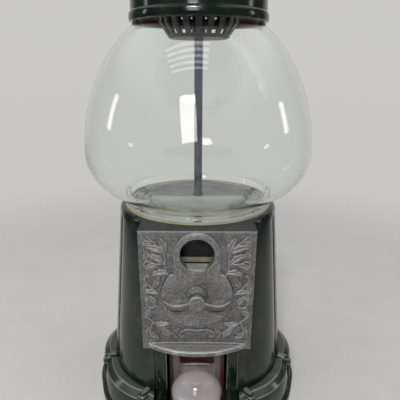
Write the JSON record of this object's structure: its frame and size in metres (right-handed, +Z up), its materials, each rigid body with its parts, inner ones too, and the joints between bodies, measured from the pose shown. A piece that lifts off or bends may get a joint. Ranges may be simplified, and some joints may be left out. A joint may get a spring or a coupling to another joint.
{
  "type": "gumball machine",
  "caption": "Table-top gumball machine: lobed cast base with wing handle and coin slot, glass globe on a rod, screwed-down lid, gum wheel, chute and hinged clear flap.",
  "frame": {"origin": "middle of the surface the machine stands on, under the rod", "axes": "+Z up along the rod, -Y towards the person who turns the handle, +X to their right"},
  "size_m": [0.186, 0.186, 0.3812],
  "materials": {
    "green_enamel": "gloss",
    "pewter": "antique",
    "rubber": "matte",
    "zinc_sheet": "satin",
    "steel": "satin",
    "die_cast": "as cast",
    "brass": "worn",
    "grey_plastic": "satin",
    "red_plastic": "gloss",
    "red_seal": "matte",
    "cream_gasket": "matte",
    "clear_plastic": "clear",
    "glass": "clear",
    "chrome": "polished"
  },
  "bodies": {
    "base": {"foot_pad": "rubber", "foot_ring": "green_enamel", "bottom_plate": "zinc_sheet", "coin_plug": "rubber", "bottom_screws": "steel", "foot_screws": "steel", "base_body": "green_enamel", "front_plate": "pewter", "plate_screws": "steel", "escutcheon": "pewter", "coin_ramp": "die_cast", "slot_bar": "brass", "shaft_bushing": "brass", "mech_back_plate": "zinc_sheet", "mech_spacers": "steel", "mech_screws": "steel", "pawl_pin": "steel", "pawl_spring": "steel", "rod_bridge": "die_cast", "bridge_screws": "steel", "hopper": "grey_plastic", "baffle": "zinc_sheet", "baffle_screws": "steel", "wheel_washer": "grey_plastic", "center_rod": "steel", "rod_washer": "steel", "rod_nut": "steel", "chute": "red_plastic", "chute_screws": "steel", "flap_hinge_pin": "steel", "globe": "glass", "globe_gasket": "cream_gasket"},
    "handle": {"wing_handle": "pewter", "handle_set_screw": "steel", "handle_shaft": "steel", "coin_carrier": "steel", "ratchet_wheel": "steel", "drive_pinion": "die_cast", "shaft_clip": "steel"},
    "wheel": {"gum_wheel": "grey_plastic", "crown_gear": "grey_plastic", "gear_screws": "steel"},
    "pawl": {"pawl": "steel"},
    "flap": {"chute_flap": "clear_plastic"},
    "lid": {"lid": "green_enamel", "lid_seal": "red_seal", "lid_basket": "grey_plastic"},
    "nut": {"lid_nut": "chrome"}
  },
  "joints": [
    {"name": "handle_turn", "type": "hinge", "parent": "base", "child": "handle", "pos_m": [0, -0.08, 0.129], "axis": [0, 1, 0], "continuous": true},
    {"name": "wheel_turn", "type": "hinge", "parent": "base", "child": "wheel", "pos_m": [0, 0, 0.16], "axis": [0, 0, 1], "continuous": true},
    {"name": "pawl_rock", "type": "hinge", "parent": "base", "child": "pawl", "pos_m": [0.0156, -0.0597, 0.1466], "axis": [0, 1, 0], "range_deg": [0, 6], "stiffness_Nm_per_rad": 0.01, "springref_deg": 6},
    {"name": "flap_swing", "type": "hinge", "parent": "base", "child": "flap", "pos_m": [0, -0.0555, 0.077], "axis": [-1, 0, 0], "range_deg": [0, 60]},
    {"name": "lid_lift", "type": "slide", "parent": "base", "child": "lid", "axis": [0, 0, 1], "range_m": [0, 0.1]},
    {"name": "lid_nut_turn", "type": "hinge", "parent": "lid", "child": "nut", "pos_m": [0, 0, 0.362], "axis": [0, 0, 1], "continuous": true}
  ],
  "couplings": [
    {"joint": "wheel_turn", "follows": "handle_turn", "ratio": 0.33333}
  ]
}
